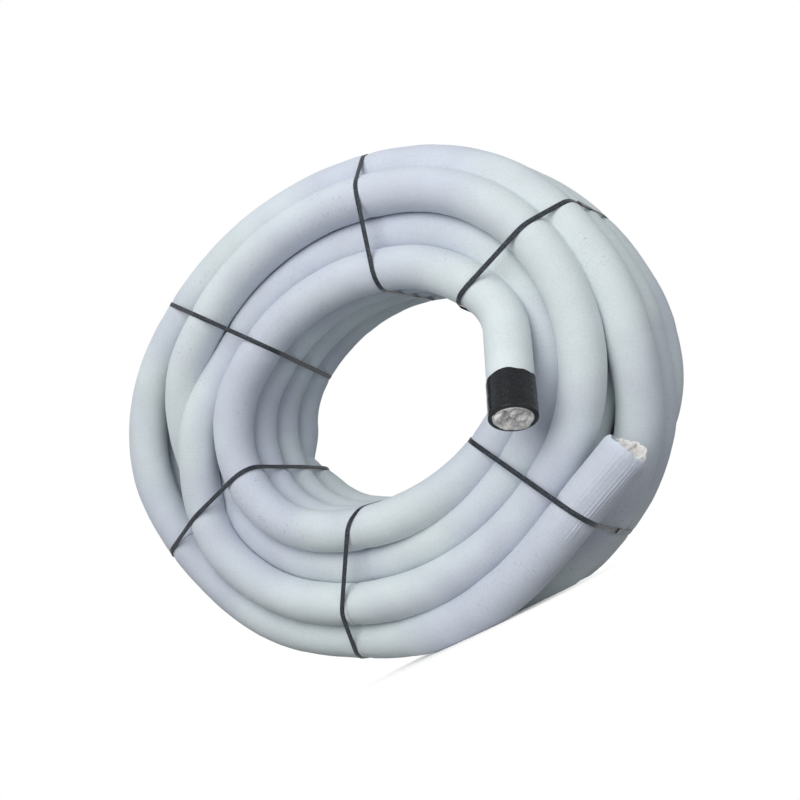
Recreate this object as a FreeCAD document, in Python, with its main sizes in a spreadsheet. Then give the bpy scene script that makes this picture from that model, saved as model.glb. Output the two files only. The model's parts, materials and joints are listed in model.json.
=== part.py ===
import FreeCAD, Part
import math
import os
import Sketcher

from FreeCAD import Placement, Rotation, Vector

os.makedirs("parts", exist_ok=True)
doc = FreeCAD.newDocument("drain_pipe_coil")

# Driving sizes, in millimetres and degrees.
# The coil's axis is Y, its front is toward -Y, and it stands on its rim at z = 0. Its own weight
# makes it an oval, wider than tall, of four arcs. An angle round the coil is the direction in
# which a turn's outside faces there: it starts at +X and rises toward +Z.
SIZES = {
    "sleeve_diameter": 114.0,
    "eye_row_long": 436.0,
    "eye_row_short": 316.0,
    "end_arc_half_angle": 60.0,
    "groove_gap": 3.0,
    "sleeve_thickness": 2.0,
    "pipe_clearance": 0.3,
    "wave_pitch": 9.5,
    "wave_depth": 4.6,
    "wave_mouth": 5.6,
    "wave_floor": 3.4,
    "pipe_wall": 1.1,
    "inner_waves": 11,
    "outer_waves": 15,
    "inner_end_angle": -11.25,
    "inner_bend_start_angle": 14.0,
    "inner_end_outward": 36.2,
    "inner_end_forward": 39.8,
    "inner_end_run": 241.2,
    "first_turn_sunk": 1.5,
    "descent_squeeze": 0.4,
    "descent_overlap_angle": 4.0,
    "descent_end_angle": 338.0,
    "descent_back": 140.0,
    "descent_outward": 48.0,
    "outer_rise_start_angle": -118.0,
    "outer_rise_end_angle": -67.0,
    "outer_root_sunk": 17.0,
    "outer_root_back": 14.0,
    "outer_end_forward": 110.0,
    "outer_leave_angle": 2.8624,
    "outer_bend_run": 173.0,
    "outer_bend_out": 3.0,
    "outer_end_run": 95.0,
    "tape_length": 112.0,
    "tape_thickness": 1.2,
    "tape_clearance": 0.3,
    "tape_return": 8.0,
    "fabric_length": 34.0,
    "fabric_crown": 5.0,
    "fabric_inset": 2.5,
    "strap_width": 13.0,
    "strap_thickness": 1.0,
    "strap_clearance": 0.3,
    "seal_length": 30.0,
    "seal_wall": 0.9,
    "seal_clearance": 0.3,
}
STRAP_ANGLES = (16.0, 68.5, 119.0, 184.0, 250.0, 296.0)

sheet = doc.addObject("Spreadsheet::Sheet", "Sizes")
for row, (alias, value) in enumerate(SIZES.items(), start=1):
    sheet.set(f"A{row}", alias)
    sheet.set(f"B{row}", str(value))
    sheet.setAlias(f"B{row}", alias)
doc.recompute()


def size(alias):
    """One size, read from the sheet."""
    return float(sheet.get(alias))


# Sizes that follow from the driving ones.
# Turns nest: each layer lies in the grooves of the one below.
DIAMETER = size("sleeve_diameter")
RADIUS = DIAMETER / 2
LAYER_PITCH = DIAMETER * math.sqrt(3) / 2
LAYERS = [LAYER_PITCH * layer for layer in range(4)]
END_HALF = size("end_arc_half_angle")
SPREAD = size("eye_row_long") - size("eye_row_short")
END_TURN = math.radians(END_HALF)
END_CENTRE = SPREAD / (1 + math.tan(END_TURN) - 1 / math.cos(END_TURN))
SIDE_CENTRE = END_CENTRE * math.tan(END_TURN)
END_RADIUS = size("eye_row_long") - END_CENTRE
SIDE_RADIUS = size("eye_row_short") + SIDE_CENTRE
COIL_HEIGHT = size("eye_row_short") + LAYERS[3] + RADIUS
FOUR_TURNS = [DIAMETER * (turn - 1.5) for turn in range(4)]
THREE_TURNS = [DIAMETER * (turn - 1) for turn in range(3)]
FRONT_Y = FOUR_TURNS[0]
FIRST_DEPTH = FRONT_Y + size("first_turn_sunk")
BORE_RADIUS = RADIUS - size("sleeve_thickness")
PIPE_OUTER = BORE_RADIUS - size("pipe_clearance")
PIPE_INNER = PIPE_OUTER - size("wave_depth") - size("pipe_wall")
WAVE_PITCH = size("wave_pitch")


def oval_arc(angle):
    """The centre, from the coil's own, and the radius of the eye row's arc at an angle."""
    place = (angle + END_HALF) % 360
    if place < 2 * END_HALF:
        return Vector(END_CENTRE, 0, 0), END_RADIUS
    if place < 180:
        return Vector(0, 0, -SIDE_CENTRE), SIDE_RADIUS
    if place < 180 + 2 * END_HALF:
        return Vector(-END_CENTRE, 0, 0), END_RADIUS
    return Vector(0, 0, SIDE_CENTRE), SIDE_RADIUS


def outward(angle):
    """The direction away from the eye at an angle."""
    turn = math.radians(angle)
    return Vector(math.cos(turn), 0, math.sin(turn))


def coil_point(angle, offset, depth):
    """A point at an angle, outward from the eye row and along the axis, from the coil's centre."""
    centre, radius = oval_arc(angle)
    return centre + outward(angle) * (radius + offset) + Vector(0, depth, 0)


def smooth(value):
    """An even ramp from 0 to 1 that starts and ends level."""
    value = min(max(value, 0.0), 1.0)
    return value * value * (3 - 2 * value)


def origin_plane(body, role):
    """A body's own origin plane."""
    return next(item for item in body.Origin.OriginFeatures if item.Role == role)


def sketch_on(body, role, name):
    """An empty sketch on one of a body's own origin planes."""
    sketch = body.newObject("Sketcher::SketchObject", name)
    sketch.AttachmentSupport = (origin_plane(body, role), [""])
    sketch.MapMode = "FlatFace"
    return sketch


def new_body(label):
    """An empty body with its own label."""
    body = doc.addObject("PartDesign::Body", label)
    body.Label = label
    return body


def add_polygon(sketch, corners):
    """A closed outline of straight lines."""
    first = sketch.GeometryCount
    count = len(corners)
    for index in range(count):
        start = Vector(*corners[index], 0)
        end = Vector(*corners[(index + 1) % count], 0)
        sketch.addGeometry(Part.LineSegment(start, end), False)
    for index in range(count):
        follower = first + (index + 1) % count
        sketch.addConstraint(Sketcher.Constraint("Coincident", first + index, 2, follower, 1))


def add_round_outline(sketch, circles, touches):
    """A closed outline of clockwise arcs joined by straight runs.

    circles holds (centre, radius), and touches the points where each run leaves one circle
    and meets the next.
    """
    first = sketch.GeometryCount
    count = len(circles)
    for index, (centre, radius) in enumerate(circles):
        leaves = touches[index][0] - centre
        meets = touches[index - 1][1] - centre
        start = math.atan2(leaves.y, leaves.x)
        end = math.atan2(meets.y, meets.x)
        if end < start:
            end += 2 * math.pi
        circle = Part.Circle(centre, Vector(0, 0, 1), radius)
        sketch.addGeometry(Part.ArcOfCircle(circle, start, end), False)
    for leaves, meets in touches:
        sketch.addGeometry(Part.LineSegment(leaves, meets), False)
    for index in range(count):
        line = first + count + index
        follower = first + (index + 1) % count
        sketch.addConstraint(Sketcher.Constraint("Coincident", line, 1, first + index, 1))
        sketch.addConstraint(Sketcher.Constraint("Coincident", line, 2, follower, 2))


def revolve(body, sketch, axis, name):
    """A full turn of a sketch about its own horizontal or vertical axis."""
    feature = body.newObject("PartDesign::Revolution", name)
    feature.Profile = sketch
    feature.ReferenceAxis = (sketch, [axis])
    feature.Angle = 360
    return feature


# Routes of the free lengths. Each is a chain of arcs that meet tangentially.

def arc_between(start, tangent, end):
    """The arc that leaves start along tangent and reaches end."""
    chord = end - start
    along = Vector(chord).normalize()
    side = tangent - along * tangent.dot(along)
    if side.Length < 1e-9:
        return Part.LineSegment(start, end).toShape()
    bend = math.acos(min(1.0, tangent.dot(along)))
    middle = (start + end) * 0.5 + Vector(side).normalize() * (chord.Length / 2 * math.tan(bend / 2))
    return Part.Arc(start, middle, end).toShape()


def double_arc(start, start_tangent, end, end_tangent):
    """Two arcs that join two points with a given direction at each."""
    gap = end - start
    both = start_tangent + end_tangent
    spread = 2 * (1 - start_tangent.dot(end_tangent))
    pull = gap.dot(both)
    if spread < 1e-9:
        reach = gap.dot(gap) / (2 * pull)
    else:
        reach = (-pull + math.sqrt(pull * pull + spread * gap.dot(gap))) / spread
    joint = (start + start_tangent * reach + end - end_tangent * reach) * 0.5
    last = arc_between(end, end_tangent * -1, joint)
    last.reverse()
    return [arc_between(start, start_tangent, joint), last]


def heading(place, angle):
    """The direction of a route at an angle."""
    step = 0.01
    return (place(angle + step) - place(angle - step)).normalize()


def route_edges(place, angles):
    """Arcs along place(angle), from the first angle to the last."""
    knots = [(COIL_CENTRE + place(angle), heading(place, angle)) for angle in angles]
    edges = []
    for (start, start_tangent), (end, end_tangent) in zip(knots, knots[1:]):
        edges += double_arc(start, start_tangent, end, end_tangent)
    return edges


def sweep(label, edges, start, tangent, diameter="Sizes.sleeve_diameter"):
    """A round length of sleeved pipe along a route."""
    route = doc.addObject("Part::Feature", label + "_route")
    route.Shape = Part.Wire(edges)
    ring = doc.addObject("Part::Circle", label + "_section")
    ring.setExpression("Radius", f"({diameter}) / 2")
    ring.Placement = Placement(start, Rotation(Vector(0, 0, 1), tangent))
    tube = doc.addObject("Part::Sweep", label)
    tube.Sections = [ring]
    tube.Spine = (route, [f"Edge{number}" for number in range(1, len(edges) + 1)])
    tube.Solid = True
    tube.Frenet = False
    return tube


def inner_place(angle):
    """The first turn: its free end stands out of the coil, its other end goes in under the next."""
    start = size("inner_end_angle")
    free = 1 - smooth((angle - start) / (END_HALF - start))
    bend_start = size("inner_bend_start_angle")
    bend = max(0.0, (bend_start - angle) / (bend_start - start))
    fall = 180 + END_HALF
    deep = smooth((angle - fall) / (size("descent_end_angle") - fall))
    offset = size("inner_end_outward") * free ** 2 + size("descent_outward") * deep ** 2
    depth = FIRST_DEPTH - size("inner_end_forward") * bend ** 2 + size("descent_back") * deep
    return coil_point(angle, offset, depth)


def outer_place(angle):
    """The last turn where it comes forward out of the outer layer toward its free end."""
    first = size("outer_rise_start_angle")
    last = size("outer_rise_end_angle")
    part = (angle - first) / (last - first)
    offset = LAYERS[3] - size("outer_root_sunk") * (1 - smooth(part))
    arc = math.radians(last - first) * (SIDE_RADIUS + LAYERS[3])
    root = THREE_TURNS[0] + size("outer_root_back")
    rise = size("outer_end_forward") + size("outer_root_back")
    leave = math.tan(math.radians(size("outer_leave_angle"))) * arc * (part ** 3 - part ** 2)
    return coil_point(angle, offset, root - rise * smooth(part) - leave)


# The free inner end bends forward out of the eye and runs straight to its taped mouth.
inner_finish = inner_place(size("inner_end_angle"))
inner_tangent = heading(inner_place, size("inner_end_angle"))
inner_tip = inner_finish - inner_tangent * size("inner_end_run")
inner_tape = size("tape_clearance") + size("tape_thickness")
inner_width = (RADIUS + inner_tape) * math.sqrt(1 - inner_tangent.y ** 2)

# The free outer end bends a little outward and then runs straight to its mouth.
outer_finish = outer_place(size("outer_rise_end_angle"))
outer_heading = heading(outer_place, size("outer_rise_end_angle"))
outer_side = outward(size("outer_rise_end_angle")) * size("outer_bend_out")
outer_elbow = outer_finish + outer_heading * size("outer_bend_run") + outer_side
outer_chord = (outer_elbow - outer_finish).normalize()
outer_tangent = (outer_chord * (2 * outer_chord.dot(outer_heading)) - outer_heading).normalize()
outer_tip = outer_elbow + outer_tangent * size("outer_end_run")

# The coil's centre puts the middle of the whole object's base at the origin.
reach_front = min(
    inner_tip.y - inner_width - inner_tape * inner_tangent.y,
    outer_tip.y - RADIUS * math.sqrt(1 - outer_tangent.y ** 2),
)
reach_back = FOUR_TURNS[-1] + RADIUS + size("strap_clearance") + size("strap_thickness")
COIL_CENTRE = Vector(0, -(reach_front + reach_back) / 2, COIL_HEIGHT)
outer_mouth = COIL_CENTRE + outer_tip

# The coil: a solid turned in four arcs, with its bore, its turns showing on all four sides.
# The first turn, pressed a little into its groove, lies level in the top and left arcs only.
turn_centres = [Vector(LAYERS[0], depth, 0) for depth in FOUR_TURNS[1:]]
turn_centres += [Vector(LAYERS[1], THREE_TURNS[-1], 0), Vector(LAYERS[2], FOUR_TURNS[-1], 0)]
turn_centres += [Vector(LAYERS[3], depth, 0) for depth in reversed(THREE_TURNS)]
turn_centres += [Vector(LAYERS[2], FRONT_Y, 0), Vector(LAYERS[1], THREE_TURNS[0], 0)]
first_turn = Vector(LAYERS[0], FIRST_DEPTH, 0)
half_gap = size("groove_gap") / 2
groove_height = math.sqrt(RADIUS ** 2 - (RADIUS - half_gap) ** 2)


def coil_arc(label, angle, sweep_expression, centres):
    """One arc of the coil, turned about its own centre."""
    centre, radius = oval_arc(angle)
    body = new_body(label)
    sketch = sketch_on(body, "XY_Plane", label + "_section")
    shift = Vector(radius, 0, 0)
    grooves = []
    for index, turn_centre in enumerate(centres):
        follower = centres[(index + 1) % len(centres)]
        along = (follower - turn_centre).normalize()
        out = Vector(-along.y, along.x, 0) * groove_height + shift
        reach = along * (RADIUS - half_gap)
        grooves.append((turn_centre + reach + out, follower - reach + out))
    add_round_outline(sketch, [(turn_centre + shift, RADIUS) for turn_centre in centres], grooves)
    turned = revolve(body, sketch, "V_Axis", label + "_turn")
    turned.Midplane = True
    turned.setExpression("Angle", sweep_expression)
    body.Placement = Placement(COIL_CENTRE + centre, Rotation(Vector(0, 1, 0), -angle))
    return body


end_sweep = "Sizes.end_arc_half_angle * 2"
side_sweep = "180 - Sizes.end_arc_half_angle * 2"
coil_arcs = [
    coil_arc("coil_right", 0, end_sweep, turn_centres),
    coil_arc("coil_top", 90, side_sweep, turn_centres + [first_turn]),
    coil_arc("coil_left", 180, end_sweep, turn_centres + [first_turn]),
    coil_arc("coil_bottom", 270, side_sweep, turn_centres),
]


def even_angles(first, last, count):
    """Angles evenly spaced from first to last."""
    return [first + (last - first) * step / count for step in range(count + 1)]


# The first turn's free end, with the taped mouth.
inner_start = COIL_CENTRE + inner_finish
inner_mouth = COIL_CENTRE + inner_tip
inner_edges = [Part.LineSegment(inner_mouth, inner_start).toShape()]
inner_edges += route_edges(inner_place, even_angles(size("inner_end_angle"), END_HALF, 7))
inner_length = sweep("inner_length", inner_edges, inner_mouth, inner_tangent)

# Where the first turn goes into the coil. It is pressed a little thinner there, and starts a
# little inside the level turn.
pressed = "Sizes.sleeve_diameter - Sizes.descent_squeeze"
fall_angles = [180 + END_HALF - size("descent_overlap_angle")]
fall_angles += even_angles(180 + END_HALF, size("descent_end_angle"), 6)
fall_edges = route_edges(inner_place, fall_angles)
fall_start = COIL_CENTRE + inner_place(fall_angles[0])
fall_heading = heading(inner_place, fall_angles[0])
descent = sweep("descent", fall_edges, fall_start, fall_heading, pressed)

# The last length, out of the outer layer to its torn free end.
outer_angles = even_angles(size("outer_rise_start_angle"), size("outer_rise_end_angle"), 5)
outer_edges = route_edges(outer_place, outer_angles)
outer_edges.append(arc_between(COIL_CENTRE + outer_finish, outer_heading, COIL_CENTRE + outer_elbow))
outer_edges.append(Part.LineSegment(COIL_CENTRE + outer_elbow, outer_mouth).toShape())
outer_root = COIL_CENTRE + outer_place(outer_angles[0])
outer_length = sweep("outer_length", outer_edges, outer_root, heading(outer_place, outer_angles[0]))

# Both free ends are hollow, to hold the pipe.
inner_frame = Placement(inner_mouth, Rotation(Vector(0, 0, 1), inner_tangent))
outer_frame = Placement(outer_mouth, Rotation(Vector(0, 0, 1), outer_tangent * -1))


def hollow(length, frame, waves):
    """A free length with its bore, as deep as its length of pipe."""
    bore = doc.addObject("Part::Cylinder", length.Name + "_bore")
    bore.setExpression("Radius", "Sizes.sleeve_diameter / 2 - Sizes.sleeve_thickness")
    bore.setExpression("Height", f"Sizes.wave_pitch * Sizes.{waves} + Sizes.pipe_clearance")
    bore.Placement = frame
    opened = doc.addObject("Part::Cut", length.Name + "_hollow")
    opened.Base = length
    opened.Tool = bore
    return opened


winding = coil_arcs + [descent]
winding.append(hollow(inner_length, inner_frame, "inner_waves"))
winding.append(hollow(outer_length, outer_frame, "outer_waves"))
doc.recompute()
filter_sleeve = doc.addObject("Part::Feature", "filter_sleeve")
filter_sleeve.Shape = winding[0].Shape.fuse([item.Shape for item in winding[1:]])
doc.recompute()


def corrugated_pipe(label, frame, waves):
    """A cut length of pipe with rings of waves outside and in, its cut end at the frame's origin."""
    body = new_body(label)
    tube_sketch = sketch_on(body, "XZ_Plane", label + "_tube")
    length = WAVE_PITCH * size(waves)
    corners = [(PIPE_INNER, 0), (PIPE_OUTER, 0), (PIPE_OUTER, length), (PIPE_INNER, length)]
    add_polygon(tube_sketch, corners)
    revolve(body, tube_sketch, "V_Axis", label + "_wall")
    doc.recompute()
    mouth = size("wave_mouth") / 2
    floor = size("wave_floor") / 2
    depth = size("wave_depth")
    cuts = []
    for side, edge, inward, centre in (
        ("outside", PIPE_OUTER, -depth, WAVE_PITCH / 4),
        ("inside", PIPE_INNER, depth, WAVE_PITCH * 3 / 4),
    ):
        sketch = sketch_on(body, "XZ_Plane", f"{label}_{side}_section")
        corners = [(edge, centre - mouth), (edge + inward, centre - floor)]
        corners += [(edge + inward, centre + floor), (edge, centre + mouth)]
        add_polygon(sketch, corners)
        groove = body.newObject("PartDesign::Groove", f"{label}_{side}_wave")
        groove.Profile = sketch
        groove.ReferenceAxis = (sketch, ["V_Axis"])
        groove.Angle = 360
        doc.recompute()
        pattern = body.newObject("PartDesign::LinearPattern", f"{label}_{side}_waves")
        pattern.Originals = [groove]
        pattern.Direction = (sketch, ["V_Axis"])
        pattern.setExpression("Length", f"Sizes.wave_pitch * (Sizes.{waves} - 1)")
        pattern.setExpression("Occurrences", f"Sizes.{waves}")
        body.Tip = pattern
        doc.recompute()
        cuts.append(pattern)
    body.Placement = frame
    return body


inner_pipe = corrugated_pipe("pipe_end_inner", inner_frame, "inner_waves")
outer_pipe = corrugated_pipe("pipe_end_outer", outer_frame, "outer_waves")

# Tape round the inner end, turned over the cut edge and a little way into the pipe.
tape = new_body("end_tape")
tape_sketch = sketch_on(tape, "XZ_Plane", "tape_section")
tape_gap = size("tape_clearance")
tape_wall = size("tape_thickness")
tape_skin = RADIUS + tape_gap
tape_lining = PIPE_INNER - tape_gap
add_polygon(tape_sketch, [
    (tape_skin, size("tape_length")),
    (tape_skin + tape_wall, size("tape_length")),
    (tape_skin + tape_wall, -tape_gap - tape_wall),
    (tape_lining - tape_wall, -tape_gap - tape_wall),
    (tape_lining - tape_wall, size("tape_return")),
    (tape_lining, size("tape_return")),
    (tape_lining, -tape_gap),
    (tape_skin, -tape_gap),
])
revolve(tape, tape_sketch, "V_Axis", "tape_turn")
tape.Placement = inner_frame

# Fabric pushed into the taped mouth, a soft plug with a crowned face.
fabric = new_body("mouth_fabric")
fabric_sketch = sketch_on(fabric, "XZ_Plane", "fabric_section")
fabric_radius = tape_lining - tape_wall - tape_gap
fabric_front = size("fabric_inset")
fabric_rim = fabric_front + size("fabric_crown")
crown_radius = (fabric_radius ** 2 + size("fabric_crown") ** 2) / (2 * size("fabric_crown"))
crown_centre = Vector(0, fabric_front + crown_radius, 0)
crown_start = math.atan2(fabric_rim - crown_centre.y, fabric_radius)
crown = Part.Circle(crown_centre, Vector(0, 0, 1), crown_radius)
fabric_back = fabric_front + size("fabric_length")
fabric_sketch.addGeometry(Part.ArcOfCircle(crown, -math.pi / 2, crown_start), False)
for start, end in (
    ((fabric_radius, fabric_rim), (fabric_radius, fabric_back)),
    ((fabric_radius, fabric_back), (0, fabric_back)),
    ((0, fabric_back), (0, fabric_front)),
):
    fabric_sketch.addGeometry(Part.LineSegment(Vector(*start, 0), Vector(*end, 0)), False)
for first, second in ((0, 1), (1, 2), (2, 3)):
    fabric_sketch.addConstraint(Sketcher.Constraint("Coincident", first, 2, second, 1))
fabric_sketch.addConstraint(Sketcher.Constraint("Coincident", 3, 2, 0, 1))
revolve(fabric, fabric_sketch, "V_Axis", "fabric_turn")
fabric.Placement = inner_frame


# Straps: tight bands round the coil's section, straight between the turns that they bear on.

def slanted_turn(point, direction, angle):
    """The circle that a turn crossing a strap's plane at a slant needs, in that plane."""
    centre, radius = oval_arc(angle)
    place = point - centre
    slant = direction.cross(outward(angle + 90)).Length
    lean = RADIUS / math.sqrt(1 - slant ** 2) - RADIUS + slant * size("strap_width")
    return Vector(place.dot(outward(angle)), place.y, 0), RADIUS + lean


def outer_turns(angle):
    """The turns at the coil's outline at an angle, clockwise from the front of the eye."""
    row = oval_arc(angle)[1]
    circles = [slanted_turn(inner_place(angle), heading(inner_place, angle), angle)]
    circles += [(Vector(row, depth, 0), RADIUS) for depth in (FOUR_TURNS[1], FOUR_TURNS[-1])]
    circles += [(Vector(row + LAYERS[2], FOUR_TURNS[-1], 0), RADIUS)]
    circles += [(Vector(row + LAYERS[3], THREE_TURNS[-1], 0), RADIUS)]
    past = angle - 360 - size("outer_rise_end_angle")
    if past > 0:
        run = (row + LAYERS[3]) * math.tan(math.radians(past))
        circles.append(slanted_turn(outer_finish + outer_heading * run, outer_heading, angle))
    else:
        circles.append((Vector(row + LAYERS[3], THREE_TURNS[0], 0), RADIUS))
    return circles + [(Vector(row + LAYERS[2], FRONT_Y, 0), RADIUS)]


def tangent_runs(circles):
    """Where the straight runs of a band leave each circle and meet the next."""
    runs = []
    for (centre, radius), (follower, next_radius) in zip(circles, circles[1:] + circles[:1]):
        gap = follower - centre
        along = Vector(gap).normalize()
        lean = (radius - next_radius) / gap.Length
        normal = Vector(-along.y, along.x, 0) * math.sqrt(1 - lean ** 2) + along * lean
        runs.append((centre + normal * radius, follower + normal * next_radius))
    return runs


def borne_on(circles):
    """The circles that a tight band touches, without those that it passes over."""
    for index, (centre, radius) in enumerate(circles):
        neighbours = [circles[index - 1], circles[(index + 1) % len(circles)]]
        leaves, meets = tangent_runs(neighbours)[0]
        along = (meets - leaves).normalize()
        proud = (centre - leaves).dot(Vector(-along.y, along.x, 0)) + radius
        if proud < size("strap_clearance") / 2:
            return borne_on(circles[:index] + circles[index + 1:])
    return circles


def strap(number, angle):
    """One band, and the seal that closes it on the rim."""
    circles = borne_on(outer_turns(angle))
    turn = Placement(COIL_CENTRE + oval_arc(angle)[0], Rotation(Vector(0, 1, 0), -angle))
    body = new_body(f"strap_{number}")
    sketch = sketch_on(body, "XY_Plane", f"strap_{number}_outline")
    for offset in (size("strap_clearance"), size("strap_clearance") + size("strap_thickness")):
        grown = [(centre, radius + offset) for centre, radius in circles]
        add_round_outline(sketch, grown, tangent_runs(grown))
    pad = body.newObject("PartDesign::Pad", f"strap_{number}_band")
    pad.Profile = sketch
    pad.setExpression("Length", "Sizes.strap_width")
    pad.Midplane = True
    body.Placement = turn
    middle = size("strap_clearance") + size("strap_thickness") / 2
    runs = tangent_runs([(centre, radius + middle) for centre, radius in circles])
    leaves, meets = max(runs, key=lambda run: run[0].x + run[1].x)
    along = Vector(meets - leaves).normalize()
    spot = leaves + along * ((THREE_TURNS[0] / 2 - leaves.y) / along.y)
    lean = math.degrees(math.atan2(along.x, -along.y))
    seal(number, turn.multiply(Placement(spot, Rotation(Vector(0, 0, 1), lean))))


def seal(number, frame):
    """A crimped sleeve that the band passes through."""
    body = new_body(f"strap_seal_{number}")
    sketch = sketch_on(body, "XZ_Plane", f"seal_{number}_section")
    for wall in (0, size("seal_wall")):
        deep = size("strap_thickness") / 2 + size("seal_clearance") + wall
        wide = size("strap_width") / 2 + size("seal_clearance") + wall
        add_polygon(sketch, [(-deep, -wide), (deep, -wide), (deep, wide), (-deep, wide)])
    pad = body.newObject("PartDesign::Pad", f"seal_{number}_length")
    pad.Profile = sketch
    pad.setExpression("Length", "Sizes.seal_length")
    pad.Midplane = True
    body.Placement = frame
    return body


for number, angle in enumerate(STRAP_ANGLES, start=1):
    strap(number, angle)
doc.recompute()

# Check every object, then write each sub-part.
for item in doc.Objects:
    if "Invalid" in item.State or "Error" in item.State:
        raise RuntimeError(f"{item.Label} failed: {item.State}")
labels = ["filter_sleeve", "pipe_end_inner", "pipe_end_outer", "end_tape", "mouth_fabric"]
labels += [f"strap_{number}" for number in range(1, 7)]
labels += [f"strap_seal_{number}" for number in range(1, 7)]
for label in labels:
    item = doc.getObjectsByLabel(label)[0]
    shape = item.Shape
    if shape.isNull() or not shape.isValid():
        raise RuntimeError(f"{label} has no valid shape")
    box = shape.BoundBox
    spans = (box.XMin, box.XMax, box.YMin, box.YMax, box.ZMin, box.ZMax)
    print(label, len(shape.Solids), "solid", round(shape.Volume / 1e3, 1), [round(v, 1) for v in spans])
    shape.exportStep(f"parts/{label}.step")
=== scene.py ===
import json
import logging
import math
from dataclasses import dataclass
from enum import Enum

import bpy
import numpy as np
from mathutils import Matrix, Vector, noise


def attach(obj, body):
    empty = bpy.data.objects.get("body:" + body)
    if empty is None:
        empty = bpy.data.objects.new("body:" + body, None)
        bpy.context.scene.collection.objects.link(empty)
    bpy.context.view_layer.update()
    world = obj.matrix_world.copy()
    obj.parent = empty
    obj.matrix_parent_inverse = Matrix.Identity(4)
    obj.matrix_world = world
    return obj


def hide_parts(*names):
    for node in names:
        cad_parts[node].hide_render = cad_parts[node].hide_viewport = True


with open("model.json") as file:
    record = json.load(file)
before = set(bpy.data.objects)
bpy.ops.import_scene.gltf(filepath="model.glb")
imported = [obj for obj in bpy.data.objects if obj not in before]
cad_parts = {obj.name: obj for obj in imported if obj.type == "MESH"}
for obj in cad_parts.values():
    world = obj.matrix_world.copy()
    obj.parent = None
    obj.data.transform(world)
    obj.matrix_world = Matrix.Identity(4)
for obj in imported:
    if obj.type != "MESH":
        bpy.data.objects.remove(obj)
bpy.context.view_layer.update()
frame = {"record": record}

LOG = logging.getLogger("drain_pipe_coil")
Array = np.ndarray
Socket = bpy.types.NodeSocket
Material = bpy.types.Material
Piece = bpy.types.Object
Table = tuple[tuple[float, float], ...]

MM = 0.001
TURN = 360.0
DIAMETER = 114 * MM  # over the sleeve
RADIUS = DIAMETER / 2
LAYER = DIAMETER * math.sqrt(3) / 2  # from one nested layer to the next
MIDDLE = 1.5 * LAYER  # from the eye row to the middle of the four layers
GROUND = 0.2 * MM  # how high the sleeve stops over the floor
FAR = 10.0  # a distance that no test takes for near
MOUNTS = {mount["name"]: mount for mount in frame["record"]["mounts"]}
CENTRE = np.array(MOUNTS["coil_eye"]["pos_m"])


class Slot(Enum):
    """The record's material slots."""

    FLEECE = "filter_fleece"
    PIPE = "pipe_plastic"
    TAPE = "tape"
    TUCKED = "tucked_fleece"
    STRAP = "strap_plastic"
    SEAL = "seal_metal"


class Form(Enum):
    """What a grid of points closes into."""

    SHEET = "open all round"
    TUBE = "columns joined and both ends capped"
    RING = "columns joined and rows joined"


# Small mathematics


def smooth(value: Array) -> Array:
    """An even ramp from 0 to 1.

    Args:
        value: Places along the ramp, 0 at its foot and 1 at its top.

    Returns:
        The ramp's heights, level outside 0 to 1.
    """
    value = np.clip(value, 0.0, 1.0)
    return value * value * (3.0 - 2.0 * value)


def unit(vectors: Array) -> Array:
    """Vectors made one long.

    Args:
        vectors: One vector a row.

    Returns:
        The same directions with length 1.
    """
    return vectors / np.linalg.norm(vectors, axis=-1, keepdims=True)


def outward(angle: Array) -> Array:
    """The direction away from the eye.

    Args:
        angle: Angles in radians, 0 at +X, rising toward +Z.

    Returns:
        One direction a row.
    """
    return np.stack([np.cos(angle), np.zeros_like(angle), np.sin(angle)], axis=1)


def around(columns: int) -> Array:
    """Even steps round a ring.

    Args:
        columns: How many steps.

    Returns:
        Their angles in radians.
    """
    return np.linspace(0, math.tau, columns, endpoint=False)


def run_along(points: Array) -> Array:
    """The length run along a line.

    Args:
        points: The line's points.

    Returns:
        The length at each point, 0 at the first.
    """
    steps = np.linalg.norm(np.diff(points, axis=0), axis=1)
    return np.concatenate([[0.0], np.cumsum(steps)])


def between(at: Array, run: Array, values: Array) -> Array:
    """Reads rows of values between samples.

    Args:
        at: Places to read.
        run: The place of each row.
        values: The rows.

    Returns:
        One row for each place.
    """
    return np.stack([np.interp(at, run, column) for column in values.T], axis=1)


def cubic(part: Array, start: Array, leaving: Array, end: Array, arriving: Array) -> Array:
    """A cubic between two values.

    Args:
        part: Places from 0 to 1.
        start: The value at 0.
        leaving: The slope at 0.
        end: The value at 1.
        arriving: The slope at 1.

    Returns:
        The value at each place.
    """
    square, cube = part**2, part**3
    from_start = (2 * cube - 3 * square + 1) * start + (cube - 2 * square + part) * leaving
    return from_start + (3 * square - 2 * cube) * end + (cube - square) * arriving


def hermite(knots: Array, values: Array, at: Array) -> Array:
    """A curve through knots that never overshoots them.

    Args:
        knots: Rising places of the knots.
        values: The value at each knot.
        at: Places to read.

    Returns:
        The curve's value at each place.
    """
    gaps = np.diff(knots)
    slopes = np.diff(values) / gaps
    tangents = np.zeros(len(knots))
    for index in range(1, len(knots) - 1):
        before, after = slopes[index - 1], slopes[index]
        if before * after > 0:
            tangents[index] = 2 * before * after / (before + after)
    cell = np.clip(np.searchsorted(knots, at, side="right") - 1, 0, len(gaps) - 1)
    part = np.clip((at - knots[cell]) / gaps[cell], 0.0, 1.0)
    leaving, arriving = gaps[cell] * tangents[cell], gaps[cell] * tangents[cell + 1]
    return cubic(part, values[cell], leaving, values[cell + 1], arriving)


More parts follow.
